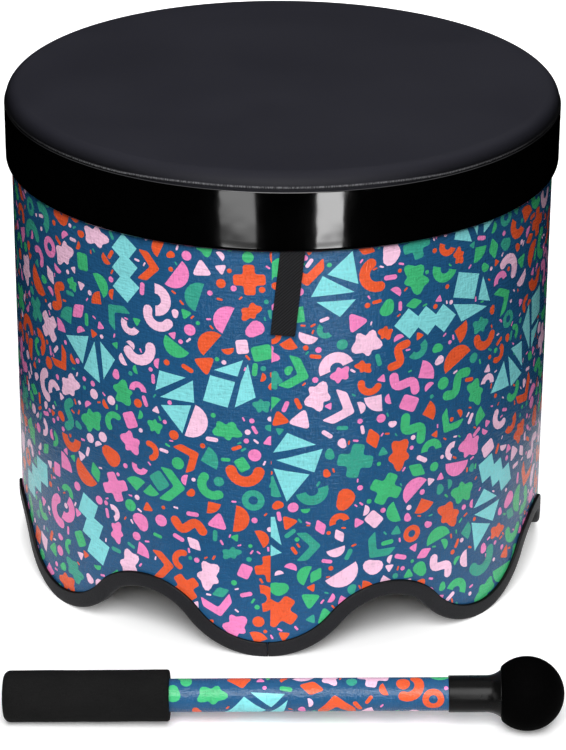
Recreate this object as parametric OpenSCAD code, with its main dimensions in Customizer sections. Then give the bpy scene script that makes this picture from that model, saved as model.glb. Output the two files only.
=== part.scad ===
// Gathering drum with a scalloped foot edge, a webbing loop under the rim and a ball mallet.
// Lengths in millimetres. The drum axis is Z, the floor is z = 0, the front faces -Y.

/* [Drum] */
// outside diameter of the printed shell
drum_d = 406.4; // [300:0.1:560]
// floor to the playing surface
drum_h = 377; // [260:1:520]
// wall thickness of the fibre shell
shell_t = 6.4; // [4:0.1:10]
// thickness of the printed cover sheet
wrap_t = 0.6; // [0.3:0.1:1.2]
// width of the lap where the cover sheet meets itself
lap_w = 12; // [6:1:25]
// thickness of the lap
lap_t = 0.5; // [0.3:0.1:0.8]
// angle of the lap seam from the front, positive to the right
lap_angle = -1.9; // [-12:0.1:12]

/* [Scalloped foot edge] */
// number of feet round the edge
feet = 7; // [5:1:9]
// angle of the front foot from the front, positive to the right
foot_angle = -3.2; // [-20:0.1:20]
// height of each arch over the floor
arch_h = 42.6; // [30:0.1:60]
// radius at the top of an arch
arch_r = 42.7; // [30:0.1:55]
// how much of each foot is cut flat to stand on
foot_flat = 1; // [0.5:0.1:3]
// height of the channel trim, square to the edge
trim_h = 12.4; // [9:0.1:18]
// thickness of the trim's two flanges
trim_t = 2.4; // [1.5:0.1:4]
// thickness of the trim's web under the shell edge
trim_web = 3; // [2:0.1:5]
// width of the butt joint in the trim
trim_gap = 0.4; // [0.2:0.1:1]
// angle of the butt joint from the front foot, positive to the right
trim_gap_angle = 0.9; // [-4:0.1:4]

/* [Rim and head] */
// thickness of the hoop outside the shell
hoop_t = 3; // [2.6:0.1:7]
// thickness of the gloss cover band
band_t = 1.3; // [0.8:0.1:3]
// height of the gloss cover band
band_h = 45.5; // [35:0.5:65]
// playing surface down to the upper edge of the band
band_drop = 11.9; // [8:0.1:18]
// outside radius where the band turns under
band_turn_r = 4; // [3.5:0.1:12]
// room between the band's turned edge and the printed cover
lip_clear = 0.35; // [0.2:0.05:1]
// thickness of the head film
film_t = 0.4; // [0.25:0.05:1]
// radius of the rounded edge the film is drawn over
edge_r = 11; // [6:0.1:14]
// height of the rounded edge ring
edge_h = 12; // [8:0.1:18]
// width of the rounded edge ring
edge_w = 13.5; // [12:0.1:20]
// how far the film's skirt reaches below the band's upper edge
skirt_h = 14; // [8:0.5:24]

/* [Webbing loop] */
// width of the webbing
strap_w = 17; // [12:0.5:30]
// thickness of one layer of webbing
strap_layer = 0.9; // [0.6:0.05:2]
// room between the two layers
strap_room = 0.3; // [0.2:0.05:1.5]
// hanging length below the hinge line
strap_len = 59; // [40:1:90]
// length tucked up behind the band
strap_tuck = 24; // [14:1:32]
// angle of the loop round the drum from the front, positive to the right
strap_angle = 2; // [-20:0.05:20]
// sideways lean of the loop
strap_lean = 6; // [0:0.5:12]
// room between the loop and the printed cover
strap_off = 0.6; // [0.6:0.1:3]
// length below the hinge line where the two layers are joined
loop_join = 4; // [2:0.5:10]
// room round the tucked end
strap_clear = 0.3; // [0.2:0.05:0.6]
// room between the tucked end and the loop's rolled end
seat_clear = 0.35; // [0.2:0.05:0.8]
// the band's lowest line down to the hinge line
hinge_drop = 3.4; // [2:0.1:8]
// how far the loop swings out and up
swing_max = 110; // [60:1:130]

/* [Mallet] */
// share of the ball's radius that the stick leaves free
stick_free = 0.55; // [0.3:0.05:0.55]
// diameter of the ball
ball_d = 52.5; // [35:0.5:70]
// share of the ball's radius at which it is cut flat for the collar
ball_flat = 0.69; // [0.6:0.01:0.9]
// diameter of the wooden core
stick_d = 22.6; // [14:0.1:28]
// thickness of the printed sleeve
sleeve_t = 0.5; // [0.3:0.1:1]
// how far the sleeve goes into the collar and the grip
sleeve_tuck = 10; // [5:0.5:16]
// length of the printed part that shows
stick_show = 196; // [120:0.5:260]
// diameter of the foam grip
grip_d = 36.4; // [28:0.1:45]
// length of the foam grip
grip_len = 117; // [80:0.5:160]
// share of the grip's length that the stick fills
grip_bore = 0.85; // [0.6:0.05:0.95]
// rounding of the grip's closed end
grip_end_r = 5; // [2:0.5:14]
// rounding of the grip's other end
grip_lip_r = 1.8; // [1:0.1:5]
// length of the gloss collar
collar_len = 37; // [25:0.1:60]
// thickness of the gloss collar
collar_t = 1.2; // [0.8:0.1:3]
// diameter of the collar where it flares on to the ball
collar_flare_d = 33; // [28:0.5:46]
// length of the flare
collar_flare_len = 9; // [6:0.5:20]
// place of the ball along X
mallet_x = 174; // [100:0.1:250]
// place of the mallet in front of the drum axis
mallet_y = -300.8; // [-420:0.1:-250]
// turn of the mallet on the floor, its grip away from the front
mallet_turn = 0.9; // [-20:0.1:20]

/* [Hidden] */
$fn = 96;

// working values of the cuts
lap_rise = 0.7;
foot_past = 3;
cut_room = 12;
cut_low = -30;
cut_dip = 0.3;
curve_steps = 9;
eps = 1;

wrap_r = drum_d / 2;
shell_r = wrap_r - wrap_t;
shell_in_r = shell_r - shell_t;
trim_r = wrap_r + trim_t;
trim_in_r = shell_in_r - trim_t;

// scallop curve: an arch circle and a foot circle that touch
step_angle = 360 / feet;
// the foot circles sit a little past the sector's edge, so that neighbouring cuts cross at a clear angle
half_w = (trim_r + foot_past) * sin(step_angle / 2);
arch_z = arch_h - arch_r;
foot_r = (pow(half_w, 2) + pow(arch_z + foot_flat, 2) - pow(arch_r, 2)) / (2 * (arch_h + foot_flat));
foot_z = foot_r - foot_flat;
flank_angle = atan2(foot_z - arch_z, half_w);
cut_from = trim_in_r * cos(step_angle / 2) - cut_room;
cut_to = trim_r + cut_room;
cut_side = half_w + cut_room / 2;

// the lap stops above the trim, whose upper edge rises away from the foot
lap_span = lap_w / wrap_r * 180 / PI;
lap_reach = wrap_r * (abs(lap_angle - foot_angle) + lap_span) * PI / 180;
lap_low = min(arch_h, lap_rise * pow(lap_reach, 2) / (foot_r - trim_h)) + trim_h + eps;

// rim and head
shell_top = drum_h - film_t - edge_h;
hoop_r = wrap_r + hoop_t;
film_r = hoop_r + film_t;
band_r = hoop_r + band_t;
band_top = drum_h - band_drop;
band_low = band_top - band_h;
turn_x = band_r - band_turn_r;
turn_z = band_low + band_turn_r;
turn_in_r = band_turn_r - band_t;
skirt_low = band_top - skirt_h;
lip_in_r = wrap_r + lip_clear;
edge_in_r = hoop_r - edge_w;

// webbing loop, in a frame whose x runs out from the drum
strap_t = 2 * strap_layer + strap_room;
strap_in = wrap_r + strap_off;
strap_mid = strap_in + strap_t / 2;
strap_out = strap_in + strap_t;
seat_r = strap_t / 2 + seat_clear;
hinge_z = band_low - hinge_drop;
notch_w = strap_w + 2 * strap_clear;
notch_top = hinge_z + strap_tuck + strap_clear;
notch_low = 2 * hinge_drop;

// mallet, built along -X from the ball and tipped until ball and grip both rest on the floor
sleeve_d = stick_d + 2 * sleeve_t;
collar_d = sleeve_d + 2 * collar_t;
ball_r = ball_d / 2;
neck_x = ball_r * ball_flat;
collar_end = neck_x + collar_len;
grip_start = collar_end + stick_show;
grip_end = grip_start + grip_len;
rest_x = grip_end - grip_end_r;
tip_angle = asin(ball_r / norm([rest_x, grip_d / 2])) - atan2(grip_d / 2, rest_x);
stick_in_ball = ball_r * stick_free;
stick_in_grip = grip_start + grip_len * grip_bore;
sleeve_in_collar = collar_end - sleeve_tuck;
sleeve_in_grip = grip_start + sleeve_tuck;

// right half of the scallop curve from the arch's top to past the foot, moved up by grow, square to the edge
function half_curve(grow) = concat(
    [for (i = [0 : curve_steps])
        let (a = 90 + (flank_angle - 90) * i / curve_steps)
        [0, arch_z] + (arch_r + grow) * [cos(a), sin(a)]],
    [for (i = [0 : curve_steps])
        let (a = flank_angle + 180 + (90 - flank_angle) * i / curve_steps)
        [half_w, foot_z] + (foot_r - grow) * [cos(a), sin(a)]],
    [[cut_side, foot_z - foot_r + grow - cut_dip]]);

// flat outline of what lies under that curve, both halves
module under_curve(grow) {
    right = half_curve(grow);
    left = [for (i = [len(right) - 1 : -1 : 1]) [-right[i][0], right[i][1]]];
    polygon(concat(left, right, [[cut_side, cut_low], [-cut_side, cut_low]]));
}

// the same outline run through the wall at every arch
module under_edge(grow) {
    for (i = [0 : feet - 1])
        rotate([0, 0, foot_angle + (i + 0.5) * step_angle])
            translate([0, -cut_from, 0])
                rotate([90, 0, 0]) linear_extrude(height = cut_to - cut_from) under_curve(grow);
}

module tube(r_in, r_out, z_low, z_high) {
    translate([0, 0, z_low])
        difference() {
            cylinder(r = r_out, h = z_high - z_low, $fn = 180);
            translate([0, 0, -eps]) cylinder(r = r_in, h = z_high - z_low + 2 * eps, $fn = 180);
        }
}

// a part of a tube between two angles from the front, positive to the right
module tube_part(r_in, r_out, z_low, z_high, angle, width) {
    translate([0, 0, z_low])
        rotate([0, 0, angle - 90])
            rotate_extrude(angle = width, $fn = 360)
                translate([r_in, 0]) square([r_out - r_in, z_high - z_low]);
}

// places children so that x runs out from the drum at the loop and z leans with it
module at_strap() {
    rotate([0, 0, strap_angle - 90])
        translate([0, 0, hinge_z])
            rotate([-strap_lean, 0, 0]) children();
}

// upright room for the tucked end, wide enough for its lean
module strap_notch(r_from, r_to) {
    at_strap()
        translate([r_from, -notch_w / 2, -notch_low])
            cube([r_to - r_from, notch_w, notch_top - hinge_z + notch_low]);
}

module along_mallet() {
    translate([mallet_x, mallet_y, ball_r])
        rotate([0, -90 - tip_angle, -mallet_turn]) children();
}

module shell() {
    color("BurlyWood")
        difference() {
            tube(shell_in_r, shell_r, 0, shell_top);
            under_edge(trim_web);
        }
}

module shell_wrap() {
    color("MidnightBlue") {
        difference() {
            tube(shell_r, wrap_r, 0, shell_top);
            under_edge(trim_web);
        }
        tube_part(wrap_r - wrap_t / 2, wrap_r + lap_t, lap_low, band_low - eps, lap_angle, lap_span);
    }
}

module base_trim() {
    color("DimGray")
        difference() {
            intersection() {
                tube(trim_in_r, trim_r, 0, arch_h + trim_h + cut_room);
                under_edge(trim_h);
            }
            under_edge(0);
            difference() {
                tube(shell_in_r, wrap_r, -eps, arch_h + trim_h + 2 * cut_room);
                under_edge(trim_web);
            }
            rotate([0, 0, foot_angle + trim_gap_angle])
                translate([-trim_gap / 2, -trim_r - eps, -eps])
                    cube([trim_gap, trim_r - trim_in_r + 2 * eps, trim_h + cut_room]);
        }
}

module hoop_profile() {
    translate([wrap_r, turn_z]) square([hoop_t, shell_top - turn_z]);
    intersection() {
        translate([turn_x, turn_z]) circle(r = turn_in_r);
        translate([wrap_r, turn_z - band_turn_r]) square([hoop_t, band_turn_r]);
    }
}

module rim_hoop() {
    color("SaddleBrown")
        difference() {
            rotate_extrude($fn = 180) hoop_profile();
            strap_notch(wrap_r - eps, strap_out + strap_clear);
        }
}

module band_profile() {
    difference() {
        union() {
            translate([hoop_r, turn_z]) square([band_t, band_top - turn_z]);
            intersection() {
                difference() {
                    translate([turn_x, turn_z]) circle(r = band_turn_r);
                    translate([turn_x, turn_z]) circle(r = turn_in_r);
                }
                translate([lip_in_r, band_low - eps]) square([band_r, band_turn_r + eps]);
            }
        }
        translate([hoop_r - eps, skirt_low]) square([film_t + eps, skirt_h + eps]);
    }
}

module rim_band() {
    color("Black")
        difference() {
            rotate_extrude($fn = 180) band_profile();
            strap_notch(wrap_r - eps, strap_out + strap_clear);
        }
}

// filled outline of a rounded drum top that ends at radius r and height z
module round_top(r, z, low, turn) {
    translate([0, low]) square([r, z - turn - low]);
    translate([0, low]) square([r - turn, z - low]);
    intersection() {
        translate([r - turn, z - turn]) circle(r = turn);
        translate([r - turn, z - turn]) square([turn, turn]);
    }
}

module edge_ring() {
    color("Gray")
        rotate_extrude($fn = 180)
            difference() {
                round_top(hoop_r, drum_h - film_t, shell_top, edge_r);
                translate([-eps, shell_top - eps]) square([edge_in_r + eps, edge_h + 2 * eps]);
            }
}

module head_film() {
    color("DarkSlateGray")
        rotate_extrude($fn = 180)
            difference() {
                round_top(film_r, drum_h, skirt_low, edge_r + film_t);
                round_top(hoop_r, drum_h - film_t, skirt_low - eps, edge_r);
            }
}

// the end that is tucked up behind the band, both layers pressed together
module strap_tail() {
    color("DimGray")
        at_strap()
            difference() {
                translate([strap_in, -strap_w / 2, 0])
                    cube([strap_t, strap_w, strap_tuck]);
                translate([strap_mid, -strap_w, 0]) rotate([-90, 0, 0])
                    cylinder(r = seat_r, h = 2 * strap_w);
                // room for the loop when it is swung right up
                translate([strap_mid, 0, 0]) rotate([0, 90 - swing_max, 0])
                    translate([0, -strap_w, -seat_r]) cube([strap_len, 2 * strap_w, 2 * seat_r]);
            }
}

// the hanging loop: two layers, a round fold below and a rolled end on the hinge line
module strap_loop() {
    color("DimGray")
        at_strap()
            translate([0, strap_w / 2, 0]) rotate([90, 0, 0])
                linear_extrude(height = strap_w)
                    difference() {
                        union() {
                            translate([strap_mid, 0]) circle(d = strap_t);
                            translate([strap_in, strap_t / 2 - strap_len])
                                square([strap_t, strap_len - strap_t / 2]);
                            translate([strap_mid, strap_t / 2 - strap_len]) circle(d = strap_t);
                        }
                        translate([strap_mid - strap_room / 2, strap_t / 2 - strap_len])
                            square([strap_room, strap_len - strap_t / 2 - loop_join]);
                        translate([strap_mid, strap_t / 2 - strap_len]) circle(d = strap_room);
                    }
}

module mallet_stick() {
    color("BurlyWood")
        along_mallet()
            translate([0, 0, stick_in_ball])
                cylinder(d = stick_d, h = stick_in_grip - stick_in_ball);
}

module mallet_sleeve() {
    color("MidnightBlue")
        along_mallet()
            translate([0, 0, sleeve_in_collar])
                difference() {
                    cylinder(d = sleeve_d, h = sleeve_in_grip - sleeve_in_collar);
                    translate([0, 0, -eps])
                        cylinder(d = stick_d, h = sleeve_in_grip - sleeve_in_collar + 2 * eps);
                }
}

module grip_profile() {
    translate([0, grip_start + grip_lip_r]) square([grip_d / 2, grip_len - grip_lip_r - grip_end_r]);
    translate([0, grip_start]) square([grip_d / 2 - grip_lip_r, grip_len - grip_end_r]);
    translate([0, grip_end - grip_end_r]) square([grip_d / 2 - grip_end_r, grip_end_r]);
    intersection() {
        union() {
            translate([grip_d / 2 - grip_lip_r, grip_start + grip_lip_r]) circle(r = grip_lip_r);
            translate([grip_d / 2 - grip_end_r, grip_end - grip_end_r]) circle(r = grip_end_r);
        }
        translate([0, grip_start]) square([grip_d, grip_len]);
    }
}

module mallet_grip() {
    color("DimGray")
        along_mallet()
            difference() {
                rotate_extrude() grip_profile();
                translate([0, 0, grip_start - eps])
                    cylinder(d = sleeve_d, h = sleeve_in_grip - grip_start + eps);
                translate([0, 0, grip_start])
                    cylinder(d = stick_d, h = stick_in_grip - grip_start);
            }
}

module mallet_collar() {
    color("Black")
        along_mallet()
            difference() {
                union() {
                    translate([0, 0, neck_x]) cylinder(d = collar_d, h = collar_len);
                    translate([0, 0, neck_x])
                        cylinder(d1 = collar_flare_d, d2 = collar_d, h = collar_flare_len);
                }
                translate([0, 0, -eps]) cylinder(d = stick_d, h = collar_end + 2 * eps);
                translate([0, 0, sleeve_in_collar]) cylinder(d = sleeve_d, h = collar_end);
            }
}

module mallet_ball() {
    color("DimGray")
        along_mallet()
            difference() {
                sphere(d = ball_d);
                translate([0, 0, neck_x]) cylinder(d = ball_d, h = ball_r);
                translate([0, 0, stick_in_ball]) cylinder(d = stick_d, h = ball_d);
            }
}

shell();
shell_wrap();
base_trim();
rim_hoop();
rim_band();
edge_ring();
head_film();
strap_tail();
strap_loop();
mallet_stick();
mallet_sleeve();
mallet_grip();
mallet_collar();
mallet_ball();
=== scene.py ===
"""Looks of a gathering drum and its mallet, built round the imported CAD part. Lengths are in metres."""
import math
import random

import bmesh
import bpy
import numpy as np
from mathutils import Matrix, Vector
from mathutils.geometry import delaunay_2d_cdt


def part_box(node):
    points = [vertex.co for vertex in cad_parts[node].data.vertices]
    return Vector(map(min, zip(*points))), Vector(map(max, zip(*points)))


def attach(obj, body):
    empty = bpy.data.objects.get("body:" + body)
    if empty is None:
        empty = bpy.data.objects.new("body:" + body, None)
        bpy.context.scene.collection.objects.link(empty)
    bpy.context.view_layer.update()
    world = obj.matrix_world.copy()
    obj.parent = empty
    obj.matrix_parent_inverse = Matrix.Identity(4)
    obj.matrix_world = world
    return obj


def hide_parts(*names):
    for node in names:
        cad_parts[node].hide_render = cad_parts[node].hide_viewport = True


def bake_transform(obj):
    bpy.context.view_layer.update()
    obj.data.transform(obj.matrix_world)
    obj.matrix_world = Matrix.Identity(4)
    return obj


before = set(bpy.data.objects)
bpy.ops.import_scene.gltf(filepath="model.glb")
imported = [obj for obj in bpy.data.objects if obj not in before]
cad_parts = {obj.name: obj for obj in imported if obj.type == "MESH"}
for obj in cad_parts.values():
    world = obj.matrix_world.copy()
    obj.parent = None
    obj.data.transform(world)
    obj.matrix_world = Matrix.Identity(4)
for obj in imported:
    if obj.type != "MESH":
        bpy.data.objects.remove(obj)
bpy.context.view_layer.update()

MM = 0.001

# Sizes shared with the CAD part, or read from its nodes

# Shell, its cover and its edge trim
WRAP_R = 0.2032
WRAP_T = 0.0006
SHELL_T = 0.0064
TRIM_T = 0.0024
TRIM_H = 0.0124
TRIM_WEB = 0.003
FEET = 7
FOOT_ANGLE = math.radians(-3.2)
ARCH_H = 0.0426
ARCH_R = 0.0427
FOOT_FLAT = 0.001
JOINT_ANGLE = FOOT_ANGLE + math.radians(0.9)
LAP_ANGLE = math.radians(-1.9)
LAP_LIFT = 0.55 * MM

# Head and rim band
DRUM_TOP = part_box("head_film")[1].z
BAND_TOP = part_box("rim_band")[1].z
BAND_LOW = BAND_TOP - 45.5 * MM
BAND_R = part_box("rim_band")[1].x
FILM_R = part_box("head_film")[1].x
SKIRT_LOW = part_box("head_film")[0].z
EDGE_TURN = 11.4 * MM
FILM_T = 0.4 * MM
BAND_TURN = 4 * MM
LIP_IN_R = WRAP_R + 0.35 * MM

# Webbing loop
STRAP_ANGLE = math.radians(2)
STRAP_LEAN = math.radians(6)
STRAP_W = 0.017
STRAP_LAYER = 0.9 * MM
STRAP_T = 2.1 * MM
STRAP_LEN = 0.059
STRAP_TUCK = 0.024
STRAP_MID = WRAP_R + 0.6 * MM + STRAP_T / 2
HINGE_Z = BAND_LOW - 3.4 * MM

# Mallet, measured along its stick from the middle of the ball. TIP lays ball and grip on the floor together
BALL_R = 0.02625
BALL_FLAT = 0.69
BALL_AT = Vector((0.174, -0.3008, BALL_R))
MALLET_TURN = math.radians(0.9)
SLEEVE_R = 0.0118
COLLAR_R = SLEEVE_R + 1.2 * MM
COLLAR_FLARE_R = 0.0165
COLLAR_LEN = 0.037
STICK_SHOW = 0.196
GRIP_R = 0.0182
GRIP_LEN = 0.117
GRIP_END_R = 5 * MM
GRIP_LIP_R = 1.8 * MM
NECK_AT = BALL_R * BALL_FLAT
COLLAR_END = NECK_AT + COLLAR_LEN
GRIP_START = COLLAR_END + STICK_SHOW
GRIP_END = GRIP_START + GRIP_LEN
REST_AT = GRIP_END - GRIP_END_R
TIP = math.asin(BALL_R / math.hypot(REST_AT, GRIP_R)) - math.atan2(GRIP_R, REST_AT)


def linear(red, green, blue):
    """A colour written in the usual 0 to 255 steps, as the shader's linear values."""
    out = []
    for value in (red, green, blue):
        c = value / 255
        out.append(c / 12.92 if c <= 0.04045 else ((c + 0.055) / 1.055) ** 2.4)
    return tuple(out)


def smoothstep(low, high, value):
    """From 0 to 1 while a value goes from low to high, slow at both ends."""
    t = np.clip((value - low) / (high - low), 0, 1)
    return t * t * (3 - 2 * t)


# Mesh helpers

def new_object(name, mesh, *materials):
    """An object in the scene, with its mesh and materials."""
    obj = bpy.data.objects.new(name, mesh)
    bpy.context.scene.collection.objects.link(obj)
    for m in materials:
        mesh.materials.append(m)
    return obj


def grid_mesh(name, points, along_u, along_v, wrap_u=False, wrap_v=False, caps=False):
    """A quad mesh over points[v][u], with a UV map in metres. A wrapped side joins its end to its start."""
    points = np.asarray(points, float)
    rows, cols = points.shape[:2]
    faces, uvs = [], []
    for j in range(rows if wrap_v else rows - 1):
        for i in range(cols if wrap_u else cols - 1):
            i2 = (i + 1) % cols
            j2 = (j + 1) % rows
            faces.append((j * cols + i, j * cols + i2, j2 * cols + i2, j2 * cols + i))
            uvs += [(along_u[i], along_v[j]), (along_u[i + 1], along_v[j]),
                    (along_u[i + 1], along_v[j + 1]), (along_u[i], along_v[j + 1])]
    if caps:
        # close both ends of a sweep whose section runs along v
        for i in (0, cols - 1):
            faces.append(tuple(j * cols + i for j in range(rows)))
            uvs += [(along_u[i], along_v[j]) for j in range(rows)]
    mesh = bpy.data.meshes.new(name)
    mesh.from_pydata(points.reshape(-1, 3).tolist(), [], faces)
    layer = mesh.uv_layers.new(name="sheet")
    layer.data.foreach_set("uv", np.array(uvs, np.float32).ravel())
    finish_mesh(mesh)
    return mesh


def finish_mesh(mesh, weld=1e-7):
    """Welds doubled points, turns all faces outwards and shades smooth."""
    bm = bmesh.new()
    bm.from_mesh(mesh)
    bmesh.ops.remove_doubles(bm, verts=bm.verts, dist=weld)
    bmesh.ops.recalc_face_normals(bm, faces=bm.faces)
    bm.to_mesh(mesh)
    bm.free()
    mesh.shade_smooth()


def lengths(points):
    """Running length along a list of points, with one step more for a wrapped list."""
    points = np.asarray(points, float)
    steps = np.linalg.norm(np.diff(np.vstack([points, points[:1]]), axis=0), axis=1)
    return np.concatenate([[0], np.cumsum(steps)])


def revolve(name, profile, segments, closed, shape=None):
    """Turns a list of (radius, height) points round Z. shape may change radius and height by angle."""
    profile = np.asarray(profile, float)
    angles = np.linspace(0, 2 * math.pi, segments, endpoint=False)
    r = np.repeat(profile[:, :1], segments, axis=1)
    z = np.repeat(profile[:, 1:], segments, axis=1)
    if shape:
        r, z = shape(r, z, angles[None, :])
    points = np.stack([r * np.sin(angles), -r * np.cos(angles), z], axis=-1)
    along_u = np.linspace(0, 2 * math.pi, segments + 1) * profile[:, 0].max()
    return grid_mesh(name, points, along_u, lengths(profile), wrap_u=True, wrap_v=closed)


def arc(centre_x, centre_y, radius, start, end, steps):
    """Points on an arc, angles in degrees."""
    angles = np.radians(np.linspace(start, end, steps + 1))
    return [(centre_x + radius * math.cos(a), centre_y + radius * math.sin(a)) for a in angles]


# Scalloped foot edge

STEP = 2 * math.pi / FEET
HALF_W = (WRAP_R + TRIM_T + 3 * MM) * math.sin(STEP / 2)
ARCH_Z = ARCH_H - ARCH_R
FOOT_R = (HALF_W ** 2 + (ARCH_Z + FOOT_FLAT) ** 2 - ARCH_R ** 2) / (2 * (ARCH_H + FOOT_FLAT))
FOOT_Z = FOOT_R - FOOT_FLAT
FLANK = math.atan2(FOOT_Z - ARCH_Z, HALF_W)


def edge_height(angle, grow):
    """Height of the scalloped edge at an angle from the front, moved up square to the edge by grow."""
    from_arch = (np.asarray(angle, float) - FOOT_ANGLE) % STEP - STEP / 2
    x = np.abs(WRAP_R * np.sin(from_arch))
    arch = ARCH_Z + np.sqrt(np.maximum((ARCH_R + grow) ** 2 - x ** 2, 0))
    foot = FOOT_Z - np.sqrt(np.maximum((FOOT_R - grow) ** 2 - (x - HALF_W) ** 2, 0))
    return np.where(x < (ARCH_R + grow) * math.cos(FLANK), arch, foot)


def round_drum(angle, radius, height):
    """Points at an angle from the front, to the right."""
    return np.stack([radius * np.sin(angle), -radius * np.cos(angle), height * np.ones_like(angle)], -1)


# Materials

# Places along Y: where the painted highlight on fine edges starts to fade and where it is dim, and where the
# head's shoulder starts to turn to the side and has turned, which sets how deep its painted shade is
EDGE_BRIGHT_Y, EDGE_DIM_Y = -0.17, -0.1
SHOULDER_FRONT_Y, SHOULDER_SIDE_Y = -0.197, -0.173


def new_material(name):
    """A material, its node tree and its shader."""
    mat = bpy.data.materials.new(name)
    mat.use_nodes = True
    return mat, mat.node_tree, mat.node_tree.nodes["Principled BSDF"]


def add(tree, kind, settings=(), **values):
    """A node with its settings and the values of its inputs. An underscore in an input's name is a space."""
    made = tree.nodes.new(kind)
    for key, value in dict(settings).items():
        setattr(made, key, value)
    for key, value in values.items():
        made.inputs[key.replace("_", " ")].default_value = value
    return made


def link(tree, source, target):
    tree.links.new(source, target)


def coordinates(tree, output, scale):
    """Coordinates times a scale for each direction."""
    source = add(tree, "ShaderNodeTexCoord")
    mapping = add(tree, "ShaderNodeMapping", Scale=scale)
    link(tree, source.outputs[output], mapping.inputs["Vector"])
    return mapping.outputs["Vector"]


def noise(tree, vector, scale, detail=3.0, roughness=0.55):
    """Cloudy noise, mostly from 0.3 to 0.7."""
    made = add(tree, "ShaderNodeTexNoise", Scale=scale, Detail=detail, Roughness=roughness)
    link(tree, vector, made.inputs["Vector"])
    return made.outputs["Fac"]


def ramp(tree, factor, low, high, low_at=0.0, high_at=1.0):
    """Two greys or colours blended by a factor."""
    made = add(tree, "ShaderNodeValToRGB")
    made.color_ramp.elements[0].position = low_at
    made.color_ramp.elements[1].position = high_at
    made.color_ramp.elements[0].color = (*low, 1) if hasattr(low, "__len__") else (low, low, low, 1)
    made.color_ramp.elements[1].color = (*high, 1) if hasattr(high, "__len__") else (high, high, high, 1)
    link(tree, factor, made.inputs["Fac"])
    return made.outputs["Color"]


def vary(tree, cloud, low, high):
    """Two greys or colours spread over the range where most of a noise lies."""
    return ramp(tree, cloud, low, high, 0.3, 0.7)


def maths(tree, operation, first, second):
    """One calculation on two values. Each may be a number or a node's output."""
    made = add(tree, "ShaderNodeMath", {"operation": operation})
    for socket, value in zip(made.inputs, (first, second)):
        if isinstance(value, (int, float)):
            socket.default_value = value
        else:
            link(tree, value, socket)
    return made.outputs[0]


def multiply(tree, first, second):
    """One colour times another."""
    made = add(tree, "ShaderNodeMix", {"data_type": "RGBA", "blend_type": "MULTIPLY"})
    made.inputs["Factor"].default_value = 1
    link(tree, first, made.inputs["A"])
    link(tree, second, made.inputs["B"])
    return made.outputs["Result"]


def mix(tree, factor, first, second):
    """From one colour to another by a factor. Each may be a colour or a node's output."""
    made = add(tree, "ShaderNodeMix", {"data_type": "RGBA"})
    link(tree, factor, made.inputs["Factor"])
    for socket, value in ((made.inputs["A"], first), (made.inputs["B"], second)):
        if isinstance(value, tuple):
            socket.default_value = (*value, 1)
        else:
            link(tree, value, socket)
    return made.outputs["Result"]


def fade(tree, value, start, end, low=0.0, high=1.0):
    """Goes from low to high while a value goes from start to end, and stays there."""
    made = add(tree, "ShaderNodeMapRange", From_Min=start, From_Max=end, To_Min=low, To_Max=high)
    link(tree, value, made.inputs["Value"])
    return made.outputs["Result"]


def axes(tree, vector):
    """The three parts of a vector."""
    made = add(tree, "ShaderNodeSeparateXYZ")
    link(tree, vector, made.inputs["Vector"])
    return made.outputs


def painted_highlight_at_front(tree, place):
    """Strength of a painted highlight: 1 at the front of the drum, where fine edges catch the light, and less
    round its sides.
    """
    return fade(tree, axes(tree, place)["Y"], EDGE_BRIGHT_Y, EDGE_DIM_Y, 1.0, 0.15)


def bump(tree, bsdf, height, distance, strength=1.0):
    """Relief from a height of 0 to 1, as deep as distance."""
    made = add(tree, "ShaderNodeBump", Strength=strength, Distance=distance)
    link(tree, height, made.inputs["Height"])
    link(tree, made.outputs["Normal"], bsdf.inputs["Normal"])


def wave(tree, vector, direction, scale, distortion=0.0):
    """Even ribs across a direction."""
    made = add(tree, "ShaderNodeTexWave", {"bands_direction": direction}, Scale=scale, Distortion=distortion)
    link(tree, vector, made.inputs["Vector"])
    return made.outputs["Fac"]


def printed_cloth(name):
    """Printed cover with a fine linen weave: the ink is a colour kept on the faces."""
    mat, tree, bsdf = new_material(name)
    ink = add(tree, "ShaderNodeVertexColor", {"layer_name": "ink"})
    threads_up = noise(tree, coordinates(tree, "UV", (640, 150, 1)), 1.0, 2.0)
    threads_across = noise(tree, coordinates(tree, "UV", (140, 560, 1)), 1.0, 2.0)
    weave = maths(tree, "ADD", threads_up, threads_across)
    wear = noise(tree, coordinates(tree, "UV", (1, 1, 1)), 60.0, 4.0)
    shade = multiply(tree, ramp(tree, weave, 0.88, 1.1, 0.7, 1.3), vary(tree, wear, 0.93, 1.05))
    link(tree, multiply(tree, ink.outputs["Color"], shade), bsdf.inputs["Base Color"])
    link(tree, ramp(tree, weave, 0.38, 0.26, 0.6, 1.3), bsdf.inputs["Roughness"])
    bsdf.inputs["Specular IOR Level"].default_value = 0.25
    bump(tree, bsdf, weave, 0.4 * MM, 1.0)
    return mat


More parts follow.
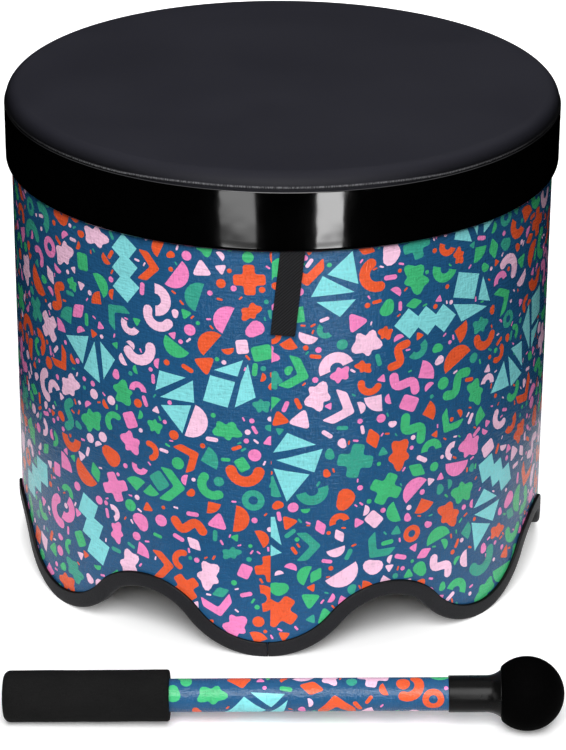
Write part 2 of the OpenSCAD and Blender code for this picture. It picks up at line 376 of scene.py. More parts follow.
def head_skin():
    """Dark head: a fine satin grain, and a line of small gathers low on the shoulder, with a painted
    highlight on them that is brightest at the front.

    The lowest part of the shoulder has painted shade, darker still round the sides and the back, and round
    the sides the gathers come down to the band."""
    mat, tree, bsdf = new_material("head_skin")
    place = coordinates(tree, "Object", (1, 1, 1))
    height = axes(tree, place)["Z"]
    cloud = noise(tree, place, 14.0, 4.0)
    skin = vary(tree, cloud, linear(31, 31, 38), linear(35, 35, 42))
    round_side = fade(tree, axes(tree, place)["Y"], SHOULDER_FRONT_Y, SHOULDER_SIDE_Y)
    # painted shade: the lowest part of the shoulder is darkened, by up to 55% at the front and 97% round the
    # sides and back
    low = fade(tree, height, BAND_TOP + 10.5 * MM, BAND_TOP + 1.5 * MM)
    shade = fade(tree, round_side, 0.0, 1.0, 0.55, 0.97)
    shoulder = maths(tree, "SUBTRACT", 1.0, maths(tree, "MULTIPLY", low, shade))
    gathers = noise(tree, coordinates(tree, "UV", (1200, 260, 1)), 1.0, 3.0)
    level = maths(tree, "ADD", height, fade(tree, round_side, 0.0, 1.0, 0.0, 1.5 * MM))
    line_start = fade(tree, level, BAND_TOP + 1.9 * MM, BAND_TOP + 2.6 * MM)
    line_end = fade(tree, level, BAND_TOP + 4.0 * MM, BAND_TOP + 3.2 * MM)
    line = maths(tree, "MULTIPLY", line_start, line_end)
    # painted highlight: pale specks along the line of gathers, full at the front and fading round the sides
    painted_glints = maths(tree, "MULTIPLY", line, ramp(tree, gathers, 0.1, 1.0, 0.42, 0.6))
    painted_glints = maths(tree, "MULTIPLY", painted_glints, painted_highlight_at_front(tree, place))
    tone = mix(tree, painted_glints, multiply(tree, skin, shoulder), linear(112, 112, 115))
    link(tree, tone, bsdf.inputs["Base Color"])
    link(tree, vary(tree, cloud, 0.59, 0.63), bsdf.inputs["Roughness"])
    bsdf.inputs["Specular IOR Level"].default_value = 0.14
    grain = maths(tree, "MULTIPLY", noise(tree, place, 2600.0, 2.0), 0.035)
    relief = maths(tree, "ADD", maths(tree, "MULTIPLY", line, gathers), grain)
    bump(tree, bsdf, relief, 1.4 * MM, 0.8)
    return mat


def gloss_black(name, grey, roughness, ripple, ripple_scale, specular, edge_at=None):
    """Gloss black plastic, not quite flat, with dust in its shine. Above edge_at its cut edge is a little
    paler round the sides and much paler at the front, where the paleness is a painted highlight.
    """
    mat, tree, bsdf = new_material(name)
    place = coordinates(tree, "Object", (1, 1, 1))
    cloud = noise(tree, place, 35.0, 4.0)
    tone = vary(tree, cloud, grey * 0.8, grey * 1.2)
    if edge_at is not None:
        # paler cut edge, with a painted highlight on it that is full at the front and fades round the sides
        edge = fade(tree, axes(tree, place)["Z"], edge_at, edge_at + 0.2 * MM)
        edge = maths(tree, "MULTIPLY", edge, painted_highlight_at_front(tree, place))
        tone = mix(tree, edge, tone, linear(60, 60, 62))
    link(tree, tone, bsdf.inputs["Base Color"])
    link(tree, vary(tree, cloud, roughness * 0.8, roughness * 1.25), bsdf.inputs["Roughness"])
    bsdf.inputs["Specular IOR Level"].default_value = specular
    bump(tree, bsdf, noise(tree, place, ripple_scale, 2.0), ripple, 0.6)
    return mat


def rubber(name, colour, roughness, grain_scale, grain_depth, specular, lip=None):
    """Dark rubber or foam with an even grain. The first part of its section, as long as lip, is darkened
    almost to black, as painted shade where that edge meets the part beside it.
    """
    mat, tree, bsdf = new_material(name)
    place = coordinates(tree, "Object", (1, 1, 1))
    cloud = noise(tree, place, 40.0, 4.0)
    dark = tuple(c * 0.86 for c in colour)
    light = tuple(c * 1.12 for c in colour)
    grain = noise(tree, place, grain_scale, 3.0, 0.65)
    tone = multiply(tree, vary(tree, cloud, dark, light), vary(tree, grain, 0.62, 1.3))
    if lip is not None:
        # painted shade: the section's first part, the trim's top edge against the cover, is darkened almost
        # to black
        section = axes(tree, coordinates(tree, "UV", (1, 1, 1)))["Y"]
        tone = multiply(tree, tone, fade(tree, section, lip, lip + 0.8 * MM, 0.05, 1.0))
    link(tree, tone, bsdf.inputs["Base Color"])
    link(tree, vary(tree, grain, roughness * 1.1, roughness * 0.9), bsdf.inputs["Roughness"])
    bsdf.inputs["Specular IOR Level"].default_value = specular
    bump(tree, bsdf, grain, grain_depth, 0.7)
    return mat


def webbing():
    """Black twill webbing: slanted ribs across the tape."""
    mat, tree, bsdf = new_material("webbing")
    ribs = wave(tree, coordinates(tree, "UV", (710, 790, 1)), "DIAGONAL", 0.34, 0.5)
    fuzz = noise(tree, coordinates(tree, "UV", (1, 1, 1)), 2600.0, 2.0)
    weave = maths(tree, "ADD", ribs, fuzz)
    link(tree, ramp(tree, weave, linear(4, 4, 5), linear(36, 36, 38), 0.4, 1.5), bsdf.inputs["Base Color"])
    link(tree, ramp(tree, fuzz, 0.75, 0.9), bsdf.inputs["Roughness"])
    bsdf.inputs["Specular IOR Level"].default_value = 0.15
    bump(tree, bsdf, weave, 0.3 * MM, 0.8)
    return mat


def plain_fibre(name, colour, scale):
    """Fibre board or wood that shows only from below."""
    mat, tree, bsdf = new_material(name)
    strands = noise(tree, coordinates(tree, "Object", (1, 1, 0.15)), scale, 5.0)
    dark = tuple(c * 0.7 for c in colour)
    link(tree, vary(tree, strands, dark, colour), bsdf.inputs["Base Color"])
    link(tree, ramp(tree, strands, 0.85, 0.7), bsdf.inputs["Roughness"])
    bump(tree, bsdf, strands, 0.3 * MM, 0.5)
    return mat


# Print: plain shapes in a few inks, scattered without overlap. A form is a list of outlines, about one unit
# in half size, and takes its own random numbers from draw

NAVY = linear(34, 84, 126)
INKS = {
    "green": linear(66, 184, 120),
    "mint": linear(58, 160, 138),
    "orange": linear(232, 92, 52),
    "pink": linear(242, 134, 192),
    "pale": linear(248, 200, 226),
    "sky": linear(132, 218, 222),
}


def disc(radius, steps):
    """A round outline."""
    return np.array(arc(0, 0, radius, 0, 360 * (1 - 1 / steps), steps - 1))


def ribbon(line, half_width):
    """A band along a line, with round ends."""
    line = np.asarray(line, float)
    run = np.gradient(line, axis=0)
    run /= np.linalg.norm(run, axis=1)[:, None]
    side = np.stack([-run[:, 1], run[:, 0]], 1) * half_width
    left = line + side
    right = (line - side)[::-1]
    caps = []
    for end, towards in ((line[-1], run[-1]), (line[0], -run[0])):
        first = math.degrees(math.atan2(towards[1], towards[0])) + 90
        caps.append(np.array(arc(*end, half_width, first, first - 180, 6))[1:-1])
    return np.vstack([left, caps[0], right, caps[1]])


def soft_corners(corners, radius):
    """A polygon with its corners rounded a little."""
    corners = np.asarray(corners, float)
    out = []
    for before, at, after in zip(np.roll(corners, 1, 0), corners, np.roll(corners, -1, 0)):
        a = (before - at) / np.linalg.norm(before - at) * radius
        b = (after - at) / np.linalg.norm(after - at) * radius
        for t in (0, 0.33, 0.67, 1):
            out.append(at + a * (1 - t) ** 2 + b * t ** 2)
    return np.array(out)


def shape_dot(draw):
    return [disc(1.0, 14)]


def shape_speck(draw):
    return [disc(1.0, 8)]


def shape_dash(draw):
    return [ribbon([(-0.6, 0), (0.6, 0)], 0.4)[::2]]


def shape_ring(draw):
    return [disc(1.0, 22), disc(0.42, 12)]


def shape_pill(draw):
    return [ribbon([(-0.65, 0), (0, 0), (0.65, 0)], 0.38)]


def shape_bow(draw):
    return [ribbon(np.array(arc(0, -0.45, 0.8, 10, 170, 9)), 0.32)]


def shape_arch(draw):
    return [np.vstack([arc(0, -0.45, 1.0, 0, 180, 12), arc(0, -0.45, 0.38, 180, 0, 7)])]


def shape_wave(draw):
    x = np.linspace(-0.9, 0.9, 15)
    return [ribbon(np.stack([x, 0.3 * np.sin(x * draw.uniform(3.6, 4.6))], 1), 0.29)]


def shape_half(draw):
    return [np.array(arc(0, -0.42, 1.0, 0, 180, 13))]


def shape_quarter(draw):
    return [np.vstack([np.array(arc(-0.7, -0.7, 1.45, 0, 90, 9)), [(-0.7, -0.7)]])]


def shape_triangle(draw):
    return [soft_corners(disc(1.1, 3), 0.5)]


def shape_diamond(draw):
    return [soft_corners([(0.62, 0), (0, 1), (-0.62, 0), (0, -1)], 0.25)]


def shape_square(draw):
    return [soft_corners([(0.8, -0.65), (0.8, 0.65), (-0.8, 0.65), (-0.8, -0.65)], 0.3)]


def shape_plus(draw):
    w = 0.36
    return [soft_corners([(1, -w), (1, w), (w, w), (w, 1), (-w, 1), (-w, w), (-1, w), (-1, -w),
                          (-w, -w), (-w, -1), (w, -1), (w, -w)], 0.2)]


def shape_chevron(draw):
    return [soft_corners([(1, -0.15), (0, 0.75), (-1, -0.15), (-1, -0.85), (0, 0.05), (1, -0.85)], 0.16)]


def shape_pebble(draw):
    a = np.linspace(0, 2 * math.pi, 16, endpoint=False)
    r = 0.84 + 0.13 * np.sin(2 * a + draw.uniform(0, 6)) + 0.07 * np.sin(3 * a + draw.uniform(0, 6))
    return [np.stack([r * np.cos(a), r * np.sin(a)], 1)]


def shape_puddle(draw):
    a = np.linspace(0, 2 * math.pi, 30, endpoint=False)
    r = 0.8 + 0.17 * np.sin(2 * a + draw.uniform(0, 6)) + 0.15 * np.sin(5 * a + draw.uniform(0, 6))
    return [np.stack([r * np.cos(a), r * np.sin(a) * 0.85], 1)]


def shape_stairs(draw):
    return [np.array([(-1, -0.85), (-0.15, -0.85), (-0.15, -0.35), (0.4, -0.35), (0.4, 0.1), (0.95, 0.1),
                      (0.95, 0.85), (0.15, 0.85), (0.15, 0.4), (-0.45, 0.4), (-0.45, -0.05), (-1, -0.05)])]


def shape_shards(draw):
    return [np.array([(-1, -0.75), (0.1, -0.55), (-0.55, 0.35)]),
            np.array([(0.25, -0.6), (0.95, -0.2), (-0.3, 0.5)]),
            np.array([(0.9, 0.05), (0.55, 0.95), (-0.2, 0.75)])]


def shape_slabs(draw):
    return [np.array([(-0.95, -0.6), (-0.1, -0.85), (0.25, 0.1), (-0.6, 0.35)]),
            np.array([(0.15, -0.85), (0.9, -0.5), (0.75, 0.75), (0.45, 0.1)]),
            np.array([(-0.45, 0.55), (0.35, 0.3), (0.6, 0.9)])]


BIG = (shape_stairs, shape_shards, shape_slabs)
LARGE = (shape_puddle, shape_wave, shape_chevron, shape_arch, shape_bow, shape_plus, shape_puddle, shape_half)
MIDDLE = (shape_half, shape_quarter, shape_triangle, shape_diamond, shape_puddle, shape_arch, shape_bow,
          shape_square, shape_pebble, shape_ring)
SMALL = (shape_dot, shape_pill, shape_pebble, shape_half, shape_triangle)
TINY = (shape_speck, shape_dash)

# Inks come out of a bag, so each is used as often as it is listed
INK_BAG = ("green", "green", "green", "orange", "orange", "orange", "pink", "pink", "pale", "pale", "mint")
SMALL_BAG = ("green", "mint", "orange", "orange", "pink", "pink", "pink", "pale", "pale")

# For each round of shapes: the forms, the inks, the smallest and largest half size in millimetres, and the
# tries for each thousand square millimetres
ROUNDS = (
    (BIG, ("sky",), 20, 25, 0.075),
    (LARGE, INK_BAG, 10.5, 13.5, 3.0),
    (MIDDLE, INK_BAG, 6.5, 9.5, 10.0),
    (SMALL, SMALL_BAG, 3.4, 5.0, 18.0),
    (TINY, SMALL_BAG, 1.5, 2.4, 16.0),
)

# In millimetres: the gap kept between shapes, the cells of the map of what is taken, and how far outside the
# sheet a shape may be centred. A form reaches no further than REACH times its half size
GAP = 0.9
CELL = 1.0
MARGIN = 14
REACH = 1.35


def inside(polygon, x, y):
    """Even-odd test of grid points against a polygon."""
    hit = np.zeros(x.shape, bool)
    for (x1, y1), (x2, y2) in zip(polygon, np.roll(polygon, -1, 0)):
        if y1 != y2:
            crosses = (y1 > y) != (y2 > y)
            hit ^= crosses & (x < (x2 - x1) * (y - y1) / (y2 - y1) + x1)
    return hit


def scatter(width, height, seed):
    """Places shapes on a sheet, in millimetres, without overlap, as a list of (polygons, ink, is a ring)."""
    draw = random.Random(seed)
    cols = int((width + 2 * MARGIN) / CELL)
    rows = int((height + 2 * MARGIN) / CELL)
    taken = np.zeros((rows, cols), bool)
    placed = []
    for forms, inks, small, large, tries in ROUNDS:
        bag = []
        for _ in range(int(tries * width * height / 1000) + 1):
            row, col = draw.randrange(rows), draw.randrange(cols)
            form = draw.choice(forms)
            size = draw.uniform(small, large)
            turn = draw.uniform(0, 2 * math.pi)
            if taken[row, col]:
                continue
            polygons = form(draw)
            spin = np.array([[math.cos(turn), math.sin(turn)], [-math.sin(turn), math.cos(turn)]])
            at = np.array([col * CELL - MARGIN, row * CELL - MARGIN])
            reach = int((size * REACH + GAP) / CELL) + 1
            r0, r1 = max(row - reach, 0), min(row + reach + 1, rows)
            c0, c1 = max(col - reach, 0), min(col + reach + 1, cols)
            gy, gx = np.mgrid[r0:r1, c0:c1] * CELL - MARGIN
            cover = np.zeros(gx.shape, bool)
            for p in polygons[:1] if form is shape_ring else polygons:
                cover |= inside(p @ spin * (size + GAP) + at, gx, gy)
            if (cover & taken[r0:r1, c0:c1]).any():
                continue
            taken[r0:r1, c0:c1] |= cover
            if not bag:
                bag = list(inks)
                draw.shuffle(bag)
            placed.append(([p @ spin * size + at for p in polygons], bag.pop(), form is shape_ring))
    return placed


def split_long(polygon, longest):
    """The same polygon with no side longer than a given length, so that it can follow a bend."""
    out = []
    for start, end in zip(polygon, np.roll(polygon, -1, 0)):
        parts = max(math.ceil(np.linalg.norm(end - start) / longest), 1)
        out += [start + (end - start) * k / parts for k in range(parts)]
    return np.array(out)


def inked_triangles(outline, shapes, spacing):
    """Cuts a flat sheet into triangles along its shapes: points, triangles and the ink of each triangle."""
    points = [Vector(p) for p in outline]
    faces = [list(range(len(outline)))]
    inks = [NAVY]
    for polygons, ink, ring in shapes:
        for k, polygon in enumerate(polygons):
            x, y = polygon[:, 0], polygon[:, 1]
            if (x * np.roll(y, -1) - np.roll(x, -1) * y).sum() < 0:
                polygon = polygon[::-1]
            polygon = split_long(polygon, spacing * 0.75)
            faces.append(list(range(len(points), len(points) + len(polygon))))
            points += [Vector(p) for p in polygon]
            inks.append(NAVY if ring and k else INKS[ink])
    low = np.min(outline, axis=0)
    high = np.max(outline, axis=0)
    for x in np.arange(low[0] + spacing / 2, high[0], spacing):
        for y in np.arange(low[1] + spacing / 2, high[1], spacing):
            points.append(Vector((x, y)))
    flat, _, triangles, _, _, sources = delaunay_2d_cdt(points, [], faces, 0, 1e-4)
    kept = [(t, max(s)) for t, s in zip(triangles, sources) if 0 in s]
    used, tri = np.unique([t for t, _ in kept], return_inverse=True)
    xy = np.array([tuple(p) for p in flat])[used]
    return xy, tri.reshape(-1, 3), [inks[k] for _, k in kept]


def rim_edges(triangles):
    """The edges that only one triangle has."""
    edges = {}
    for a, b, c in triangles.tolist():
        for edge in ((a, b), (b, c), (c, a)):
            edges[edge] = True
    return [(a, b) for a, b in edges if (b, a) not in edges]


def printed_sheet(name, outline, shapes, bend, spacing, thickness, material):
    """A bent sheet with the shapes inked on its outside, as one closed mesh.

    outline, shapes and spacing are flat, in millimetres. bend(x, y, depth) gives the place in metres."""
    xy, tri, inks = inked_triangles(outline, shapes, spacing)
    count = len(xy)
    outer = bend(xy[:, 0], xy[:, 1], 0.0)
    inner = bend(xy[:, 0], xy[:, 1], thickness)
    walls = [(b, a, a + count, b + count) for a, b in rim_edges(tri)]
    mesh = bpy.data.meshes.new(name)
    all_faces = tri.tolist() + (tri[:, ::-1] + count).tolist() + walls
    mesh.from_pydata(np.vstack([outer, inner]).tolist(), [], all_faces)
    colour = np.ones((len(mesh.loops), 4), np.float32)
    colour[:, :3] = NAVY
    colour[:3 * len(tri), :3] = np.repeat(inks, 3, axis=0)
    ink_layer = mesh.color_attributes.new("ink", "FLOAT_COLOR", "CORNER")
    ink_layer.data.foreach_set("color", colour.ravel())
    corner = np.zeros(len(mesh.loops), np.int32)
    mesh.loops.foreach_get("vertex_index", corner)
    layer = mesh.uv_layers.new(name="sheet")
    layer.data.foreach_set("uv", (np.vstack([xy, xy])[corner] * MM).astype(np.float32).ravel())
    # smooth normals that follow the bend, so that the fine triangles do not show
    out_normal = outer - inner
    out_normal /= np.linalg.norm(out_normal, axis=1)[:, None]
    normals = np.vstack([out_normal, -out_normal])[corner]
    mesh.shade_smooth()
    for wall in (p for p in mesh.polygons if len(p.vertices) == 4):
        normals[list(wall.loop_indices)] = wall.normal
    mesh.normals_split_custom_set(normals.tolist())
    return new_object(name, mesh, material)


# Drum pieces

def make_cover():
    """Printed cover round the shell, its lap seam at the front."""
    around = 2 * math.pi * WRAP_R / MM
    under_lap = 6.0
    lift_full, lift_gone = 9.0, 21.0
    edge_step = 3.5
    behind_band = 9 * MM
    above_web = 1.5 * MM
    top = (BAND_LOW + behind_band) / MM
    reach = around + under_lap

    def angle(x):
        return LAP_ANGLE + x * MM / WRAP_R

    xs = np.linspace(0, reach, int(reach / edge_step))
    low_edge = edge_height(angle(xs), TRIM_WEB + above_web) / MM
    tops = np.linspace(reach, 0, int(reach / (2 * edge_step)))
    outline = [(x, z) for x, z in zip(xs, low_edge)] + [(x, top) for x in tops]
    shapes = scatter(reach, top, seed=11)

    def bend(x, z, depth):
        lift = LAP_LIFT * (1 - smoothstep(lift_full, lift_gone, x))
        radius = WRAP_R + lift - depth
        return np.stack([radius * np.sin(angle(x)), -radius * np.cos(angle(x)), z * MM], -1)

    cloth = printed_cloth("printed_cover")
    cover = printed_sheet("shell_cover", outline, shapes, bend,
                          spacing=8.0, thickness=0.45 * MM, material=cloth)
    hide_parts("shell_wrap")
    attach(cover, "drum")


def trim_section():
    """Section of the channel trim: out from the cover's face, and up from the edge, in millimetres."""
    t = TRIM_T / MM
    h = TRIM_H / MM
    back = -(SHELL_T + WRAP_T) / MM
    web = TRIM_WEB / MM
    top_r = 1.1
    foot_r = 2.6
    sunk = 0.1
    outer_top = [(-sunk, h - 0.7), (0.3, h - 0.15)] + arc(t - top_r, h - top_r, top_r, 80, 0, 5)
    belly = [(t + 0.12, h * 0.62), (t + 0.14, h * 0.45), (t + 0.06, 3.6)]
    outer_foot = arc(t - foot_r, foot_r, foot_r, -4, -90, 7)
    inner_foot = arc(back - t + foot_r, foot_r, foot_r, -90, -180, 7)
    inner_top = arc(back - t + top_r, h - top_r, top_r, 180, 95, 5) + [(back + sunk, h - 0.6)]
    channel = [(back + sunk, web + sunk), (-sunk, web + sunk)]
    return outer_top + belly + outer_foot + inner_foot + inner_top + channel


def make_trim():
    """Channel trim swept along the scalloped edge, open at its butt joint."""
    section = np.array(trim_section()) * MM
    half_gap = 0.22 * MM / WRAP_R
    steps_a_foot = 84
    first = JOINT_ANGLE + half_gap
    last = JOINT_ANGLE + 2 * math.pi - half_gap
    angles = np.linspace(first, last, FEET * steps_a_foot + 1)
    small = 1e-4
    centre = round_drum(angles, WRAP_R, 0)
    centre[:, 2] = edge_height(angles, 0)
    run = round_drum(angles + small, WRAP_R, 0) - round_drum(angles - small, WRAP_R, 0)
    run[:, 2] = edge_height(angles + small, 0) - edge_height(angles - small, 0)
    run /= np.linalg.norm(run, axis=1)[:, None]
    out = round_drum(angles, 1.0, 0)
    up = np.cross(out, run)
    ripple = 0.10 * MM * np.sin(angles * 23) * np.sin(angles * 7 + 1)
    outwards = section[:, :1, None]
    outwards = outwards + ripple[None, :, None] * (outwards > 0)
    points = centre[None] + outwards * out[None] + section[:, 1:, None] * up[None]
    points[..., 2] = np.maximum(points[..., 2], 0)
    along = np.append(lengths(centre)[:-1], 0)
    mesh = grid_mesh("foot_trim", points, along, lengths(section), wrap_v=True, caps=True)
    # lip sets how far the painted shade along the trim's top edge reaches
    plastic = rubber("edge_trim", linear(28, 28, 31), roughness=0.55, grain_scale=900.0,
                     grain_depth=0.2 * MM, specular=0.2, lip=2.6 * MM)
    trim = new_object("foot_trim", mesh, plastic)
    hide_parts("base_trim")
    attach(trim, "drum")


def make_band():
    """Gloss cover band: an upper lip, a flat face and a turned-under lower edge, opened for the webbing."""
    lip = 0.7 * MM
    turn_x = BAND_R - BAND_TURN
    turn_z = BAND_LOW + BAND_TURN
    wall = 1.2 * MM
    last = -math.degrees(math.acos((LIP_IN_R - turn_x) / BAND_TURN))
    face = [(BAND_R, turn_z + (BAND_TOP - lip - turn_z) * t) for t in np.linspace(1, 0, 9)]
    upper_lip = arc(BAND_R - lip, BAND_TOP - lip, lip, 150, 10, 6)
    outside = upper_lip + face + arc(turn_x, turn_z, BAND_TURN, -6, last, 16)
    inside_top = (BAND_R - wall + 0.3 * MM, BAND_TOP - lip)
    inside_low = (BAND_R - wall + 0.1 * MM, turn_z)
    inside_turn = arc(turn_x, turn_z, BAND_TURN - wall, last, -10, 10)
    profile = outside + inside_turn + [inside_low, inside_top]
    room = STRAP_MID + STRAP_T / 2 + 0.25 * MM

    def open_for_strap(r, z, angle):
        off = np.abs((angle - STRAP_ANGLE + math.pi) % (2 * math.pi) - math.pi) * WRAP_R
        share = 1 - smoothstep(STRAP_W / 2 + 0.8 * MM, STRAP_W / 2 + 3.2 * MM, off)
        share = share * (r < room) * (z < turn_z)
        reach = np.hypot(r - turn_x, z - turn_z)
        stop = turn_z - np.sqrt(np.maximum(reach ** 2 - (room - turn_x) ** 2, 0))
        return r + (room - r) * share, z + (stop - z) * share

    mesh = revolve("rim_cover", profile, segments=720, closed=True, shape=open_for_strap)
    # edge_at sets where the paler cut edge and its painted highlight start
    shine = gloss_black("gloss_band", grey=0.0006, roughness=0.075, ripple=0.5 * MM, ripple_scale=26.0,
                        specular=0.5, edge_at=BAND_TOP - 0.35 * MM)
    band = new_object("rim_cover", mesh, shine)
    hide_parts("rim_band")
    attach(band, "drum")


def make_head():
    """Head film: a flat top, a rounded shoulder and a skirt that goes down behind the band."""
    turn_x = FILM_R - EDGE_TURN
    turn_z = DRUM_TOP - EDGE_TURN
    top = [(turn_x * t, DRUM_TOP) for t in (0, 0.1, 0.3, 0.5, 0.7, 0.85, 0.95, 0.985)]
    outside = top + arc(turn_x, turn_z, EDGE_TURN, 90, 0, 26) + [(FILM_R, SKIRT_LOW)]
    under = [(FILM_R - FILM_T, SKIRT_LOW)] + arc(turn_x, turn_z, EDGE_TURN - FILM_T, 0, 90, 12)
    below = [(turn_x * t, DRUM_TOP - FILM_T) for t in (0.7, 0.3, 0)]
    mesh = revolve("drum_head", outside + under + below, segments=360, closed=False)
    head = new_object("drum_head", mesh, head_skin())
    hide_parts("head_film")
    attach(head, "drum")


def strap_line():
    """Middle line of the folded tape from end to end, as (out from the drum, down from the hinge)."""
    near = (STRAP_T - STRAP_LAYER) / 2
    swell = 0.9 * MM
    down = np.linspace(-STRAP_TUCK, STRAP_LEN - near - swell, 44)
    hanging = smoothstep(0, 0.02, down)
    front_out = near + swell * smoothstep(0.01, 0.058, down) + 0.15 * MM * np.sin(down * 170) * hanging
    back_out = -near + 0.1 * MM * np.sin(down * 130 + 1) * hanging
    front = np.stack([front_out, down], 1)
    back = np.stack([back_out, down], 1)[::-1]
    fold_r = (front[-1, 0] - back[0, 0]) / 2
    fold_at = ((front[-1, 0] + back[0, 0]) / 2, down[-1])
    fold = np.array(arc(*fold_at, fold_r, 0, 180, 12))[1:-1]
    return np.vstack([front, fold, back])


def strap_section():
    """Section of the tape, as (across, out): round edges and two shallow grooves on each face."""
    half_w, half_t = STRAP_W / 2, STRAP_LAYER / 2
    corner = half_w - half_t * 0.6
    sunk = half_t * 0.94
    top_row = [(-corner, half_t), (-half_w / 2, sunk), (0, half_t), (half_w / 2, sunk)]
    end_row = arc(corner, 0, half_t, 90, -90, 6)
    return top_row + end_row + [(-a, -b) for a, b in top_row[1:]] + [(-a, -b) for a, b in end_row][:-1]


def make_strap():
    """Webbing loop: one tape, folded at the bottom, both ends tucked up behind the band."""
    out = Vector((math.sin(STRAP_ANGLE), -math.cos(STRAP_ANGLE), 0))
    across = Vector((math.cos(STRAP_ANGLE), math.sin(STRAP_ANGLE), 0))
    up = Vector((0, 0, 1))
    side = across * math.cos(STRAP_LEAN) - up * math.sin(STRAP_LEAN)
    rise = across * math.sin(STRAP_LEAN) + up * math.cos(STRAP_LEAN)
    hinge = out * STRAP_MID + up * HINGE_Z
    line = strap_line()
    section = strap_section()
    run = np.gradient(line, axis=0)
    run /= np.linalg.norm(run, axis=1)[:, None]
    facing = np.stack([run[:, 1], -run[:, 0]], 1)
    place = np.zeros((len(section), len(line), 3))
    for j, (w, t) in enumerate(section):
        flat = line + facing * t
        middle = np.array(hinge + side * w)
        place[j] = middle + flat[:, :1] * np.array(out) - flat[:, 1:] * np.array(rise)
    along = np.append(lengths(line)[:-1], 0)
    mesh = grid_mesh("webbing_loop", place, along, lengths(section), wrap_v=True, caps=True)
    strap = new_object("webbing_loop", mesh, webbing())
    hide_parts("strap_tail", "strap_loop")
    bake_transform(strap)


# Mallet pieces

MALLET = (Matrix.Translation(BALL_AT) @ Matrix.Rotation(-MALLET_TURN, 4, "Z")
          @ Matrix.Rotation(-math.pi / 2 - TIP, 4, "Y"))


def on_mallet(obj, slot, *nodes):
    """Lays a piece that was built along Z from the ball's middle on to the mallet."""
    obj.data.transform(MALLET)
    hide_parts(*nodes)
    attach(obj, "mallet")


def make_ball():
    """Rubber ball with a flat for the collar."""
    first = math.acos(BALL_FLAT)
    flat_r = BALL_R * math.sin(first)
    flat = [(flat_r * t, NECK_AT) for t in (0, 0.5, 0.9, 0.96)]
    angles = np.linspace(first + 0.03, math.pi, 45)
    profile = flat + [(BALL_R * math.sin(a), BALL_R * math.cos(a)) for a in angles]
    mesh = revolve("rubber_ball", profile, segments=96, closed=False)
    matt = rubber("ball_rubber", linear(3, 3, 3), roughness=0.75, grain_scale=900.0,
                  grain_depth=0.08 * MM, specular=0.01)
    on_mallet(new_object("rubber_ball", mesh, matt), "ball_rubber", "mallet_ball")


def make_collar():
    """Gloss collar that flares on to the ball's flat."""
    wall = 1.0 * MM
    edge = 0.5 * MM
    flare = 10 * MM
    start = NECK_AT + 0.03 * MM
    rim = arc(COLLAR_FLARE_R - edge, start + edge, edge, -80, 10, 4)
    slope = [(COLLAR_R + (COLLAR_FLARE_R - COLLAR_R) * (1 - t) ** 2.2, start + edge + flare * t)
             for t in np.linspace(0.08, 1, 14)]
    straight = COLLAR_END - edge - (start + edge + flare)
    tube = [(COLLAR_R, COLLAR_END - edge - straight * t) for t in (0.75, 0.5, 0.25, 0)]
    mouth = arc(COLLAR_R - edge, COLLAR_END - edge, edge, 10, 90, 3)
    bore_r = SLEEVE_R + 0.02 * MM
    bore = [(bore_r, COLLAR_END), (bore_r, start + flare), (COLLAR_FLARE_R - wall, start)]
    mesh = revolve("gloss_collar", rim + slope + tube + mouth + bore, segments=128, closed=True)
    shine = gloss_black("gloss_collar", grey=0.003, roughness=0.28, ripple=0.15 * MM, ripple_scale=120.0,
                        specular=0.11)
    on_mallet(new_object("gloss_collar", mesh, shine), "gloss_collar", "mallet_collar")


def make_grip():
    """Foam grip with small roundings at its ends."""
    lip = arc(GRIP_R - GRIP_LIP_R, GRIP_START + GRIP_LIP_R, GRIP_LIP_R, -90, 0, 6)
    body = [(GRIP_R, GRIP_START + GRIP_LEN * t) for t in np.linspace(0.08, 0.92, 22)]
    end = arc(GRIP_R - GRIP_END_R, GRIP_END - GRIP_END_R, GRIP_END_R, 0, 90, 8)
    profile = [(SLEEVE_R, GRIP_START + 6 * MM), (SLEEVE_R, GRIP_START)] + lip + body + end + [(0, GRIP_END)]

    def uneven(r, z, angle):
        wobble = 0.05 * MM * np.sin(z * 160 + 2 * angle) + 0.06 * MM * np.sin(z * 75 - 3 * angle + 1)
        return r + wobble * (r > GRIP_R * 0.9), z

    mesh = revolve("foam_grip", profile, segments=128, closed=False, shape=uneven)
    foam = rubber("grip_foam", linear(24, 24, 24), roughness=0.9, grain_scale=1500.0,
                  grain_depth=0.4 * MM, specular=0.06)
    grip = new_object("foam_grip", mesh, foam)
    on_mallet(grip, "grip_foam", "mallet_grip")


def make_sleeve():
    """Printed sleeve on the stick, in the drum's own print."""
    around = 2 * math.pi * SLEEVE_R / MM
    start = (COLLAR_END - COLLAR_LEN * 0.3) / MM
    end = (GRIP_START + 5 * MM) / MM
    seam_angle = math.radians(150)
    seam_lift = 0.04 * MM
    xs = np.linspace(0, around * 1.01, 60)
    length = end - start
    outline = [(x, 0) for x in xs] + [(x, length) for x in xs[::-1]]
    shapes = scatter(around, length, seed=5)

    def bend(x, y, depth):
        angle = x * MM / SLEEVE_R + seam_angle
        radius = SLEEVE_R + seam_lift * (1 - smoothstep(0, 3, x)) - depth
        return np.stack([radius * np.cos(angle), radius * np.sin(angle), (y + start) * MM], -1)

    cloth = printed_cloth("printed_sleeve")
    sleeve = printed_sheet("stick_cover", outline, shapes, bend,
                           spacing=2.0, thickness=0.3 * MM, material=cloth)
    on_mallet(sleeve, "printed_sleeve", "mallet_sleeve")


